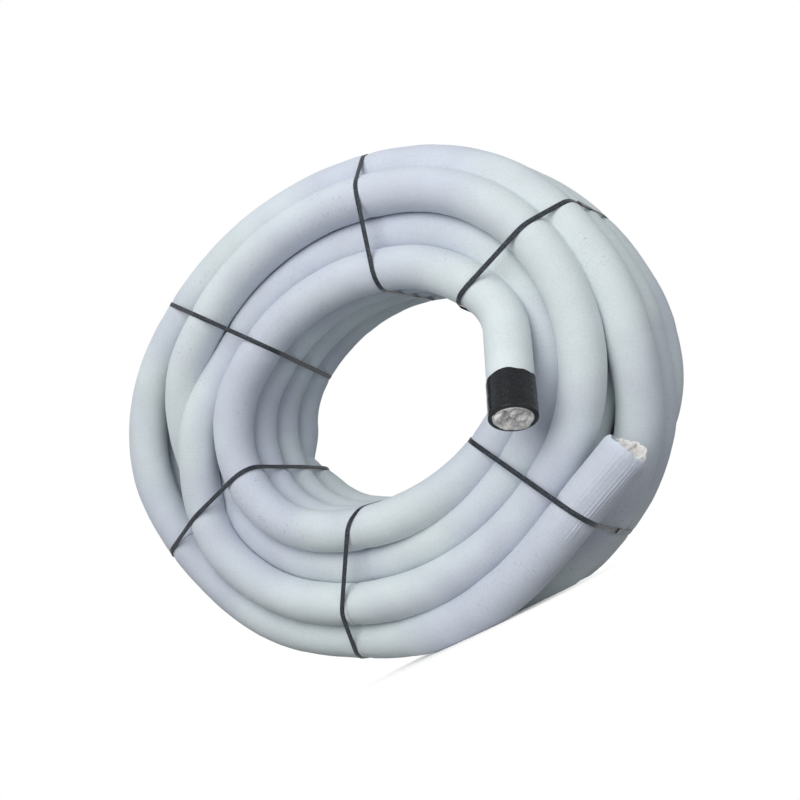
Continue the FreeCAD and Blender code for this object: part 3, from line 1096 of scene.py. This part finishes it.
@dataclass(frozen=True)
class OuterEnd:
    """The last turn where it leaves the coil and climbs to its torn mouth.

    Its skin is drawn together in pleats at one side before the mouth, folds in at the edge
    and hangs over farther at the other. The lining is in pairs of a radius and a depth
    behind the edge, in millimetres.
    """

    rise_start: float = -118.0
    rise_end: float = -67.0
    rise_radius: float = 0.896
    forward: float = 110 * MM
    slope: float = 0.05
    overhang: float = 12 * MM
    hangs_at: float = math.radians(275)
    fold: float = 5.6 * MM
    pleat: float = 2.2 * MM
    pleats_at: float = math.radians(318)
    step: float = 4 * MM
    columns: int = 200
    lining: Table = ((50.8, -0.4), (50.2, 0.8), (50.6, 4), (53.6, 10), (54.9, 14), (54.9, 60))

    def line(self, layer: Layer, start: float) -> Line:
        """The centre line from a layer's end to the mouth.

        Args:
            layer: The outer layer.
            start: The length of pipe before it, in metres.

        Returns:
            The line.
        """
        first, rise = layer.span[1], self.rise_end - self.rise_start
        wound = np.linspace(first, first + self.rise_end + TURN - first % TURN, 260)
        part = np.clip((wound % TURN - TURN - self.rise_start) / rise, 0, 1)
        offset, depth = layer.place(wound, 1 - smooth(part))
        swing = self.slope * math.radians(rise) * self.rise_radius * (part**3 - part**2)
        climb = OVAL.line(wound, offset, depth - self.forward * smooth(part) - swing)
        mount = MOUNTS["free_end"]
        axis = unit(np.array(mount["axis"]))
        length = mount["dims"]["length_mm"] * MM
        end, elbow = climb.points[-1], np.array(mount["pos_m"]) - axis * length / 2
        gap = np.linalg.norm(elbow - end)
        part = np.linspace(0, 1, 80)[1:, None]
        bend = cubic(part, end, gap * unit(end - climb.points[-2]), elbow, gap * axis)
        straight = elbow + axis * np.linspace(2 * MM, length, 50)[:, None]
        level = np.repeat(climb.out[-1:], len(bend) + len(straight), axis=0)
        points = np.vstack([climb.points, bend, straight])
        return Line(points, np.vstack([climb.out, level]), start)

    def skin(self, line: Line, radii: Array) -> tuple[Array, Array]:
        """The torn end's outside, lip and lining.

        Args:
            line: The centre line to the mouth.
            radii: The outside's radius at each sample and column.

        Returns:
            The points, and their surface coordinates in metres.
        """
        turn = around(self.columns)
        left = (line.reach[-1] - line.reach)[:, None]
        gathered = smooth(left / 0.03) * smooth((0.30 - left) / 0.16)
        low = smooth(1.9 * np.cos(turn - self.pleats_at) - 0.75)
        pleats = np.abs(np.sin(22 * turn + 2.0 * np.sin(2 * turn) + 3 * left)) ** 0.7
        uneven = 0.55 + 0.45 * np.sin(7 * turn + 9 * left)
        radii = radii + self.pleat * gathered * low * pleats * uneven
        radii = radii - self.fold * np.clip(1 - left / 0.016, 0, 1) ** 2
        across = turn * RADIUS
        tear = self.overhang * np.clip(np.cos(turn - self.hangs_at), -0.3, 1)
        tear = tear + 2.2 * MM * ripple(across, 0.07, 5, 3) + 0.7 * MM * ripple(across, 0.013, 8, 2)
        points, uvs = tube_points(line, radii)
        along, end = line.along[-1], line.points[-1]
        points = points + (along * tear[:, None]) * smooth(1 - left / 0.05)[..., None]
        edge = points[-1] - end
        axial = (edge @ along)[:, None] * along
        radial = unit(edge - axial)
        rows = [end + axial + (radial * radius - along * back) * MM for radius, back in self.lining]
        last, step = uvs[-2], np.array([2 * MM, 0.0])
        more = [last + step * (number + 2) for number in range(len(rows))]
        return np.concatenate([points, rows]), np.concatenate([uvs[:-1], more, more[-1:]])


class Sleeve:
    """The whole sleeved winding, layer by layer, as the photograph shows it wound.

    The lining of its taped mouth is in pairs of a radius and a depth, in millimetres.
    """

    columns = 44
    step = 8 * MM
    seed = 11
    filler_seeds = (83, 97)
    filler_gap = 0.4 * MM
    lining: Table = ((54.8, 60.0), (54.8, 2.0), (55.4, 0.6))

    def __init__(self, finishes: Finishes) -> None:
        """Starts with nothing wound.

        Args:
            finishes: The finishes.
        """
        self.finishes = finishes
        self.skins: list[Array] = []
        self.mouths: list[Mouth] = []

    def radii(self, line: Line, seed: int, columns: int) -> Array:
        """How the sleeve swells, and pinches under the straps.

        Args:
            line: The centre line.
            seed: Picks its unevenness.
            columns: How many points a ring has.

        Returns:
            The radius at each sample and column.
        """
        reach, turn = line.reach, around(columns)
        radii = np.full((len(reach), columns), RADIUS)
        radii += 0.5 * MM * ripple(reach, 0.31, seed)[:, None]
        radii += 0.5 * MM * ripple(reach, 0.42, seed + 1)[:, None] * np.cos(2 * turn)
        radii += 0.3 * MM * ripple(reach, 0.10, seed + 2)[:, None] * np.cos(3 * turn + 1)
        folds = np.cos(11 * turn + seed) + 0.6 * np.cos(17 * turn + 2 * seed)
        for band in BANDS:
            near = band.flattened(line.points)[2][:, None]
            pinch = np.exp(-((near / (12 * MM)) ** 2))
            pucker = np.exp(-((near / (34 * MM)) ** 2)) * (1 - pinch)
            radii += (0.45 * pucker * folds - 2.4 * pinch) * MM
        return radii

    def add(self, name: str, points: Array, uvs: Array, *stands_for: str) -> None:
        """Adds a piece, which stops at the ground.

        Args:
            name: The piece's name.
            points: Its rings of points.
            uvs: Their surface coordinates.
            stands_for: The solids that it stands for.
        """
        points[..., 2] = np.maximum(points[..., 2], GROUND)
        self.skins.append(points.reshape(-1, 3))
        piece = MeshBuilder(name).grid(points, uvs).build()
        self.finishes.dress(piece, Slot.FLEECE, *stands_for)

    def length(self, line: Line, seed: int, thinner: float = 0.0) -> tuple[Array, Array]:
        """The skin of one length.

        Args:
            line: Its centre line.
            seed: Picks its unevenness.
            thinner: How much thinner it is than the rest, in metres.

        Returns:
            The points, and their surface coordinates in metres.
        """
        line = line.resampled(self.step)
        return tube_points(line, self.radii(line, seed, self.columns) - thinner)

    def build(self) -> None:
        """Makes every layer, the lengths that come up at the back, and the torn end."""
        line = TapedEnd().line(EYE_ROW.line())
        mouth = line.mouth(0)
        self.mouths.append(mouth)
        points, uvs = self.length(line, self.seed)
        edge = unit(points[0] - mouth.centre)
        rows = [mouth.centre + (edge * out + mouth.inward * into) * MM for out, into in self.lining]
        points, uvs = np.concatenate([rows, points]), np.concatenate([uvs[:1]] * len(rows) + [uvs])
        self.add(EYE_ROW.name, points, uvs, "filter_sleeve")
        for layer in (SECOND, THIRD, FOURTH):
            line = layer.line(line.reach[-1])
            self.add(layer.name, *self.length(line, self.seed))
        for layer, seed in zip((EYE_BACK, RIM_BACK), self.filler_seeds):
            self.add(layer.name, *self.length(layer.line(), seed, self.filler_gap))
        end = OuterEnd()
        line = end.line(FOURTH, line.reach[-1]).resampled(end.step)
        self.mouths.append(line.mouth(-1))
        self.add("sleeve_outer_end", *end.skin(line, self.radii(line, self.seed, end.columns)))


# The ends


@dataclass(frozen=True)
class Tape:
    """Tape wound round the first mouth and turned over its edge.

    The lip and the underside are in pairs of a place into the pipe and a radius, in
    millimetres, and so are the length and the skin's radius.
    """

    length: float = 100.0
    skin: float = 58.6
    overlap: float = 38 * MM
    loose: float = 0.25
    columns: int = 144
    rows: int = 72
    lip: Table = (
        (8, 47.6), (2, 47.4), (-1.2, 47.6), (-2.2, 48.8), (-2, 52.5), (-1.9, 56.6), (-0.9, 58.2),
    )
    underside: Table = ((2, 56.4), (0.6, 52), (0.8, 48.9), (8, 48.6))

    def build(self, finishes: Finishes, mouth: Mouth) -> None:
        """Makes the tape.

        Args:
            finishes: The finishes.
            mouth: The mouth.
        """
        turn = around(self.columns)
        outer = [(place, self.skin) for place in np.linspace(0.5, self.length, self.rows)]
        edge = [(self.length + 0.2, 57.9), (self.length - 1, 56.6)]
        profile = [*self.lip, *outer, *edge, *self.underside]
        first, last = len(self.lip), len(self.lip) + self.rows
        along, radius = spun(profile, self.columns)
        free = smooth((along / (self.length * MM) - 1 + self.loose) / self.loose)
        uneven = 3.2 * MM * ripple(turn * RADIUS, 0.16, 3) + 2.0 * MM * np.sin(turn + 0.6)
        along[first:last] += (free * uneven)[first:last]
        along[last : last + len(edge)] += uneven
        lap = (along / self.overlap + turn / math.tau) % 1.0
        step = 0.5 * (lap - 0.5) * smooth((1 - lap) / 0.06)
        rings = [0.9 * along, 0.02 * np.cos(turn) + 0 * along, 0.02 * np.sin(turn) + 0.4 * along]
        wrinkles = crumple(np.stack(rings, axis=-1), 0.026, 3.1, 2) - 0.45
        near = np.exp(-np.clip(along, 0, None) / 0.022)
        lift = (step + wrinkles * (0.3 + 0.9 * near)) * MM
        lift[:first] *= 0.5
        lift[last:] = 0
        lift[: first - 4] = 0
        points = mouth.points(along, radius + np.maximum(lift, -0.9 * MM))
        uvs = surface_coordinates(np.arange(len(profile)) * 1.6 * MM, turn * self.skin * MM)
        builder = MeshBuilder("taped_mouth").grid(points, uvs, Form.RING, turned=True)
        finishes.dress(builder.build(), Slot.TAPE, "end_tape")


@dataclass(frozen=True)
class Plug:
    """Crumpled cloth that fills a mouth."""

    name: str
    radius: float
    rim: float
    depth: float
    crown: float
    fold: float
    wavelength: float
    seed: float
    octaves: int
    lean: float = 0.0
    toward: float = 0.0
    spread: float = 0.0
    columns: int = 132
    rings: int = 48

    def build(self, finishes: Finishes, mouth: Mouth, *stands_for: str) -> None:
        """Makes the plug.

        Args:
            finishes: The finishes.
            mouth: The mouth that it fills.
            stands_for: The solids that it stands for.
        """
        turn, level = around(self.columns), np.ones(self.columns)
        share = np.linspace(0.03, 1, self.rings)[:, None] * level
        rise = self.crown * (1 - share**2)
        tilt = self.lean * share * np.cos(turn - math.radians(self.toward))
        flat = np.stack([share * np.cos(turn), share * np.sin(turn), 0 * share], axis=-1)
        flat *= self.radius
        folds = 0.75 - 2 * crumple(flat, self.wavelength, self.seed, self.octaves)
        fade = 1 - share**14
        front = self.rim - (rise + tilt + folds * self.fold) * fade
        twist = 0.18 * crumple(flat, self.wavelength * 1.6, self.seed + 5) * self.radius * fade
        uneven = 0.1 + 0.9 * ripple(turn * self.radius, 0.09, int(self.seed), 3)
        inner = share * (self.radius + self.spread * uneven) - 0.35 * twist
        first = max(self.rim + 1.5 * MM, -1.6 * MM)
        side = np.linspace(first, self.depth, 6)[:, None] * level
        back = np.linspace(0.98, 0.05, 5)[:, None] * level
        along = np.vstack([front, side, np.full_like(back, self.depth + 0.5 * MM)])
        radius = np.vstack([inner, np.full_like(side, self.radius), back * self.radius])
        points = mouth.points(along, np.maximum(radius, 0.4 * MM))
        uvs = surface_coordinates(np.arange(len(points)) * 1.4 * MM, turn * self.radius)
        piece = MeshBuilder(self.name).grid(points, uvs).build()
        finishes.dress(piece, Slot.TUCKED, *stands_for)


@dataclass(frozen=True)
class Fray:
    """Loose fibre strands in a torn mouth."""

    count: int = 70
    thick: float = 0.7 * MM
    longest: float = 26 * MM
    sides: int = 5
    joints: int = 9

    def build(self, finishes: Finishes, mouth: Mouth) -> None:
        """Makes the strands.

        Args:
            finishes: The finishes.
            mouth: The torn end.
        """
        draw = np.random.default_rng(29)
        builder = MeshBuilder("torn_end_strands")
        taper = self.thick * np.linspace(1, 0.25, self.joints)[:, None] * np.ones(self.sides)
        for _ in range(self.count):
            turn = draw.uniform(0, math.tau)
            ring = mouth.up * math.cos(turn) + mouth.side * math.sin(turn)
            from_centre = draw.uniform(0.35, 0.8) * RADIUS
            points = [mouth.centre + ring * from_centre + mouth.inward * 8 * MM]
            heading = unit(-mouth.inward + ring * draw.normal(0, 0.35) + draw.normal(0, 0.35, 3))
            step = self.longest * draw.uniform(0.35, 1.0) / (self.joints - 1)
            for _ in range(self.joints - 1):
                heading = unit(heading + draw.normal(0, 0.28, 3))
                points.append(points[-1] + heading * step)
            line = Line(np.array(points), np.repeat(ring[None], self.joints, axis=0))
            builder.grid(*tube_points(line, taper))
        finishes.dress(builder.build(), Slot.FLEECE)


@dataclass(frozen=True)
class CorrugatedEnd:
    """The pipe that shows inside a free end, with its sizes in millimetres."""

    name: str
    node: str
    waves: int
    inset: float = 0.0
    pitch: float = 9.5
    depth: float = 4.6
    mouth_width: float = 5.6
    floor_width: float = 3.4
    outside: float = 54.7
    inside: float = 49.0
    columns: int = 96

    def build(self, finishes: Finishes, mouth: Mouth) -> None:
        """Makes the pipe.

        Args:
            finishes: The finishes.
            mouth: The mouth that it ends at.
        """
        crest = (self.pitch - self.mouth_width) / 2
        falls = crest + (self.mouth_width - self.floor_width) / 2
        high, low = self.outside, self.outside - self.depth
        wave = [(0.3, high), (crest, high), (falls, low), (falls + self.floor_width, low)]
        wave.append((self.pitch - crest, high))
        profile = [(number * self.pitch + at, r) for number in range(self.waves) for at, r in wave]
        end = self.waves * self.pitch
        profile += [(end - 0.3, high), (end, high - 0.6), (end, self.inside)]
        profile += [(0, self.inside), (0, high - 0.5)]
        along, radius = spun(profile, self.columns)
        across = around(self.columns) * high * MM
        uvs = surface_coordinates(np.arange(len(profile)) * 2 * MM, across)
        points = mouth.points(along + self.inset * MM, radius)
        builder = MeshBuilder(self.name).grid(points, uvs, Form.RING, turned=True)
        finishes.dress(builder.build(), Slot.PIPE, self.node)


# Straps and seals


def hull(points: Array) -> Array:
    """The corners of the tightest loop round points in a plane.

    Args:
        points: The points.

    Returns:
        The corners, one way round.
    """
    order = points[np.lexsort((points[:, 1], points[:, 0]))]
    corners: list[Array] = []
    for run in (order, order[::-1]):
        kept: list[Array] = []
        for point in run:
            while len(kept) > 1:
                one, two = kept[-1] - kept[-2], point - kept[-2]
                if one[0] * two[1] - one[1] * two[0] > 0:
                    break
                kept.pop()
            kept.append(point)
        corners += kept[:-1]
    return np.array(corners)


class Strap:
    """One band drawn tight round the coil, with its tail and its seal."""

    width = 13 * MM
    thick = 1.0 * MM
    corner = 0.3 * MM
    gap = 0.6 * MM
    step = 5 * MM
    tail_before = 3
    tail_samples = 18
    seal_half = 15 * MM
    seal_wide = 7.9 * MM
    seal_deep = 2.4 * MM

    def __init__(self, finishes: Finishes, band: Band, skins: Array) -> None:
        """Settles where the band goes.

        Args:
            finishes: The finishes.
            band: Its place round the coil.
            skins: Points on the sleeve's surface.
        """
        self.finishes = finishes
        self.band = band
        self.flat = self.path(skins)
        self.points = band.raised(self.flat)

    def path(self, skins: Array) -> Array:
        """The band's middle line in its plane.

        Args:
            skins: Points on the sleeve's surface.

        Returns:
            Distances outward from the eye row and along Y, evenly spaced round the loop.
        """
        offset, depth, distance = self.band.flattened(skins)
        near = np.abs(distance) < self.width / 2 + 1.5 * MM
        corners = hull(np.stack([offset[near], depth[near]], axis=1))
        corners = np.vstack([corners, corners[:1]])
        run = run_along(corners)
        at = np.linspace(0, run[-1], int(run[-1] / self.step), endpoint=False)
        loop = between(at, run, corners)
        for _ in range(4):
            loop = (np.roll(loop, 1, axis=0) + 2 * loop + np.roll(loop, -1, axis=0)) / 4
        step = np.roll(loop, -1, axis=0) - np.roll(loop, 1, axis=0)
        normal = unit(np.stack([step[:, 1], -step[:, 0]], axis=1))
        return loop + normal * (self.gap + self.thick / 2)

    def frames(self, points: Array, looped: bool) -> tuple[Array, Array]:
        """The directions across the band.

        Args:
            points: The band's middle line.
            looped: Whether it is a loop.

        Returns:
            Directions across the band's width and away from the coil.
        """
        if looped:
            along = unit(np.roll(points, -1, axis=0) - np.roll(points, 1, axis=0))
        else:
            along = unit(np.gradient(points, axis=0))
        tangent = self.band.axes()[2]
        wide = unit(tangent - along * (along @ tangent)[:, None])
        return wide, np.cross(along, wide)

    def ribbon(self, builder: MeshBuilder, points: Array, looped: bool, lift: float) -> None:
        """Adds a flat band along a line.

        Args:
            builder: The mesh that it joins.
            points: Its middle line.
            looped: Whether it is a loop.
            lift: How far it lies off the line, away from the coil, in metres.
        """
        wide, away = self.frames(points, looped)
        w, d = self.width / 2, self.thick / 2
        w_in, d_in = w - self.corner, d - self.corner
        lower = [(-w, -d_in), (-w_in, -d), (w_in, -d), (w, -d_in)]
        section = np.array(lower + [(-x, -y) for x, y in lower])
        ring = points[:, None] + wide[:, None] * section[:, :1]
        ring = ring + away[:, None] * (section[:, 1:] + lift)
        uvs = surface_coordinates(run_along(points), section[:, 0])
        builder.grid(ring, uvs, Form.RING if looped else Form.TUBE)

    def build(self) -> None:
        """Makes the band, its tail and its seal."""
        builder = MeshBuilder(f"band_{self.band.number}")
        self.ribbon(builder, self.points, True, 0.0)
        offset, depth = self.flat.T
        place = int(np.argmin(np.where(offset > 2 * LAYER, np.abs(depth + RADIUS), FAR)))
        tail = np.roll(self.points, self.tail_before - place, axis=0)[: self.tail_samples]
        self.ribbon(builder, tail, False, 1.15 * MM)
        self.finishes.dress(builder.build(), Slot.STRAP, f"strap_{self.band.number}")
        self.seal(place)

    def seal(self, place: int) -> None:
        """Makes the crimped seal.

        Args:
            place: The sample that it sits on.
        """
        wide, away = (directions[place] for directions in self.frames(self.points, True))
        origin = self.points[place] + away * self.gap
        rows = np.linspace(-self.seal_half, self.seal_half, 31)
        turn = around(24)
        square = np.stack([np.cos(turn), np.sin(turn)], axis=1)
        square = np.sign(square) * np.abs(square) ** 0.35
        crimp = sum(np.exp(-(((rows - at * MM) / (1.6 * MM)) ** 2)) for at in (-8, 0, 8))
        outer = np.stack(
            [rows, self.seal_wide - 0.9 * MM * crimp, self.seal_deep - 0.35 * MM * crimp], axis=1
        )
        inner = outer[::-1] - np.array([0.0, 0.9 * MM, 0.8 * MM])
        along, half_wide, half_deep = np.vstack([outer, inner]).T[..., None, None]
        flat = wide * square[:, :1] * half_wide + away * square[:, 1:] * half_deep
        points = origin + np.cross(wide, away) * along + flat
        uvs = surface_coordinates(np.arange(len(points)) * MM, turn * 8 * MM)
        builder = MeshBuilder(f"crimped_seal_{self.band.number}").grid(points, uvs, Form.RING)
        self.finishes.dress(builder.build(), Slot.SEAL, f"strap_seal_{self.band.number}")


# The studio


@dataclass(frozen=True)
class Studio:
    """A pale floor, a sky, soft lamps and the camera, fitted to the photograph."""

    azimuth: float = math.radians(26.265)
    elevation: float = math.radians(-11.765)
    roll: float = math.radians(-26.223)
    distance: float = 2.814
    focal_px: float = 1002.9
    centre_px: tuple[float, float] = (389.6, 400.7)
    frame_px: float = 800.0
    floor_half: float = 3.2
    floor_cells: int = 24

    def build(self) -> None:
        """Makes the stage."""
        self.world()
        self.floor()
        self.lamps()
        self.camera()

    def axes(self) -> tuple[Vector, Vector, Vector]:
        """The camera's directions.

        Returns:
            Right, up and forward.
        """
        level = Vector((-math.sin(self.azimuth), math.cos(self.azimuth), 0.0))
        forward = level * math.cos(self.elevation) - Vector((0, 0, math.sin(self.elevation)))
        right = forward.cross(Vector((0, 0, 1))).normalized()
        up = right.cross(forward)
        rolled = right * math.cos(self.roll) + up * math.sin(self.roll)
        return rolled, up * math.cos(self.roll) - right * math.sin(self.roll), forward

    def camera(self) -> None:
        """Sets the camera where the photograph was taken."""
        right, up, forward = self.axes()
        data = bpy.data.cameras.new("camera")
        data.sensor_width = 36.0
        data.lens = self.focal_px / self.frame_px * data.sensor_width
        data.shift_x = (self.frame_px / 2 - self.centre_px[0]) / self.frame_px
        data.shift_y = (self.centre_px[1] - self.frame_px / 2) / self.frame_px
        camera = bpy.data.objects.new("camera", data)
        turn = Matrix((right, up, -forward)).transposed().to_4x4()
        camera.matrix_world = Matrix.Translation(Vector(CENTRE) - forward * self.distance) @ turn
        bpy.context.scene.collection.objects.link(camera)
        bpy.context.scene.camera = camera

    def world(self) -> None:
        """Sets a pale sky, brighter above, that shows white behind the object."""
        nodes = Nodes("studio", "World")
        rays = nodes.add("LightPath").outputs
        seen = rays["Is Camera Ray"]
        for ray in ("Is Glossy Ray", "Is Transmission Ray"):
            clamped = {"operation": "ADD", "use_clamp": True}
            seen = nodes.add("Math", clamped, i0=seen, i1=rays[ray]).outputs[0]
        direction = nodes.add("TexCoord").outputs["Generated"]
        height = nodes.add("SeparateXYZ", Vector=direction).outputs["Z"]
        limits = {"From_Min": -0.35, "From_Max": 0.6, "To_Min": 0.16, "To_Max": 0.66}
        strength = nodes.add("MapRange", Value=height, **limits).outputs[0]
        sky = nodes.add("Background", Color=(0.92, 0.975, 0.99, 1.0), Strength=strength)
        white = nodes.add("Background", Color=(1.0, 1.0, 1.0, 1.0), Strength=1.0)
        world = nodes.finish("MixShader", i0=seen, i1=sky.outputs[0], i2=white.outputs[0])
        bpy.context.scene.world = world
        bpy.context.scene.view_settings.view_transform = "Standard"

    def floor(self) -> None:
        """Lays a pale floor that fades into the white beyond the object's shadow."""
        grid = np.linspace(-self.floor_half, self.floor_half, self.floor_cells + 1)
        x, y = np.meshgrid(grid, grid, indexing="ij")
        uvs = surface_coordinates(grid, grid)
        points = np.stack([x, y, np.zeros_like(x)], axis=-1)
        piece = MeshBuilder("floor").grid(points, uvs, Form.SHEET).build()
        nodes = Nodes("matt_studio_floor")
        scaled = nodes.add("Mapping", Vector=nodes.place(), Scale=(1.0, 1.2, 1.0)).outputs[0]
        far = nodes.add("VectorMath", {"operation": "LENGTH"}, i0=scaled).outputs["Value"]
        matt = nodes.add("BsdfDiffuse", Color=(0.9, 0.9, 0.9, 1.0)).outputs[0]
        clear = nodes.add("BsdfTransparent").outputs[0]
        fade = nodes.ramp(far, 0.02, 0.40)
        piece.data.materials.append(nodes.finish("MixShader", i0=fade, i1=matt, i2=clear))

    def lamps(self) -> None:
        """Hangs a wide key lamp up and to the camera's left, and a weak fill."""
        right, up, forward = self.axes()
        key = up * 1.4 - right * 1.7 - forward * 2.8
        fill = up * 0.2 + right * 1.6 - forward * 3.0
        for name, offset, size, power, colour in (
            ("key", key, 3.4, 84.0, (1.0, 0.995, 0.98)),
            ("fill", fill, 2.4, 16.0, (0.97, 0.98, 1.0)),
        ):
            data = bpy.data.lights.new(name, "AREA")
            data.shape = "DISK"
            data.size = size
            data.energy = power
            data.color = colour
            lamp = bpy.data.objects.new(name, data)
            lamp.location = Vector(CENTRE) + offset
            lamp.rotation_euler = (-offset).to_track_quat("-Z", "Y").to_euler()
            bpy.context.scene.collection.objects.link(lamp)


TUCKED_PLUG = Plug(
    "tucked_fleece_plug",
    radius=47.2 * MM,
    rim=-4 * MM,
    depth=38 * MM,
    crown=4 * MM,
    fold=12 * MM,
    wavelength=42 * MM,
    seed=4.2,
    octaves=3,
    spread=4 * MM,
)
TORN_TUFT = Plug(
    "torn_fleece_tuft",
    radius=48.5 * MM,
    rim=7 * MM,
    depth=58 * MM,
    crown=-4 * MM,
    fold=12 * MM,
    wavelength=30 * MM,
    seed=9.1,
    octaves=4,
    lean=38 * MM,
    toward=306,
)


def main() -> None:
    """Builds the studio and the dressed model."""
    logging.basicConfig(level=logging.INFO, format="%(name)s: %(message)s")
    finishes = Finishes()
    Studio().build()
    sleeve = Sleeve(finishes)
    sleeve.build()
    taped, torn = sleeve.mouths
    Tape().build(finishes, taped)
    TUCKED_PLUG.build(finishes, taped, "mouth_fabric")
    TORN_TUFT.build(finishes, torn)
    Fray().build(finishes, torn)
    CorrugatedEnd("pipe_in_taped_end", "pipe_end_inner", 11).build(finishes, taped)
    CorrugatedEnd("pipe_in_torn_end", "pipe_end_outer", 15, inset=14.5).build(finishes, torn)
    skins = np.concatenate(sleeve.skins)
    for band in BANDS:
        Strap(finishes, band, skins).build()


if __name__ == "__main__":
    main()
